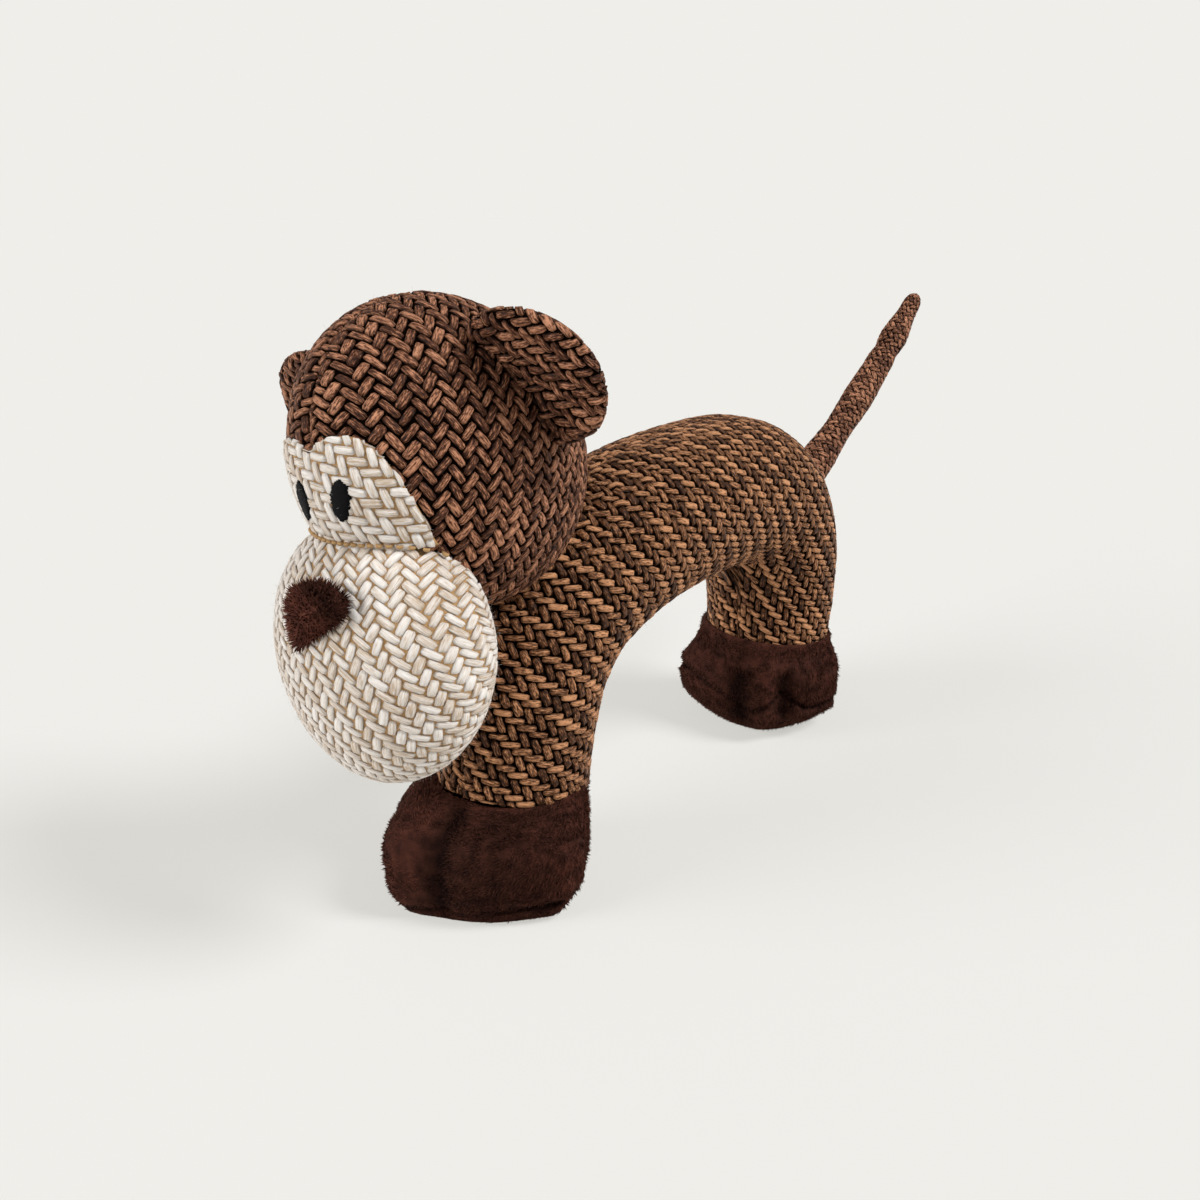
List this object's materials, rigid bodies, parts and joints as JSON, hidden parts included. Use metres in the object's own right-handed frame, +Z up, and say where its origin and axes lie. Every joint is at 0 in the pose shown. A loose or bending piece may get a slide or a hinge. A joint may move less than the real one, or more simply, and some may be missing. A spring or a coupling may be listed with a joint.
{
  "type": "stuffed monkey toy",
  "caption": "Small stuffed monkey of woven cloth with an arched tube body on plush feet, a domed head with a pale muzzle, padded ears and a thin tail.",
  "frame": {"origin": "on the floor under the middle of the toy's box", "axes": "+Z up, +Y from the muzzle to the tail, +X to the toy's left"},
  "size_m": [0.089, 0.284, 0.1455],
  "materials": {
    "brown_cloth": "coarse twill of flat brown yarns over dark ones",
    "cream_cloth": "coarse weave of off-white flat yarns with thin tan ones",
    "dark_plush": "short dark brown pile with a soft sheen",
    "eye_thread": "black satin stitch",
    "fibre_filling": "loose white fibre, inside the covers"
  },
  "bodies": {
    "torso": {"body_left_panel": "brown_cloth", "body_right_panel": "brown_cloth", "body_stuffing": "fibre_filling", "front_foot_upper": "dark_plush", "front_foot_sole": "dark_plush", "front_foot_stuffing": "fibre_filling", "rear_foot_upper": "dark_plush", "rear_foot_sole": "dark_plush", "rear_foot_stuffing": "fibre_filling"},
    "head": {"head_left_panel": "brown_cloth", "head_right_panel": "brown_cloth", "face_patch": "cream_cloth", "muzzle_cover": "cream_cloth", "nose": "dark_plush", "left_eye": "eye_thread", "right_eye": "eye_thread", "head_stuffing": "fibre_filling", "muzzle_stuffing": "fibre_filling"},
    "left_ear": {"left_ear_front": "brown_cloth", "left_ear_back": "brown_cloth", "left_ear_padding": "fibre_filling"},
    "right_ear": {"right_ear_front": "brown_cloth", "right_ear_back": "brown_cloth", "right_ear_padding": "fibre_filling"},
    "tail": {"tail_cover": "brown_cloth", "tail_filling": "fibre_filling"}
  },
  "joints": [
    {"name": "neck_nod", "type": "hinge", "parent": "torso", "child": "head", "pos_m": [0.00414, -0.07, 0.09363], "axis": [1, 0, 0], "range_deg": [-12, 0]},
    {"name": "left_ear_flap", "type": "hinge", "parent": "head", "child": "left_ear", "pos_m": [0.02381, -0.09558, 0.12904], "axis": [-0.4987, -0.4681, 0.7295], "range_deg": [-12, 12], "stiffness_Nm_per_rad": 0.02},
    {"name": "right_ear_flap", "type": "hinge", "parent": "head", "child": "right_ear", "pos_m": [-0.0234, -0.09558, 0.12156], "axis": [0.2489, -0.4682, 0.8479], "range_deg": [-12, 12], "stiffness_Nm_per_rad": 0.02},
    {"name": "tail_wag", "type": "hinge", "parent": "torso", "child": "tail", "pos_m": [0.00414, 0.06338, 0.07651], "axis": [1, 0, 0], "range_deg": [-20, 20], "stiffness_Nm_per_rad": 0.08}
  ]
}
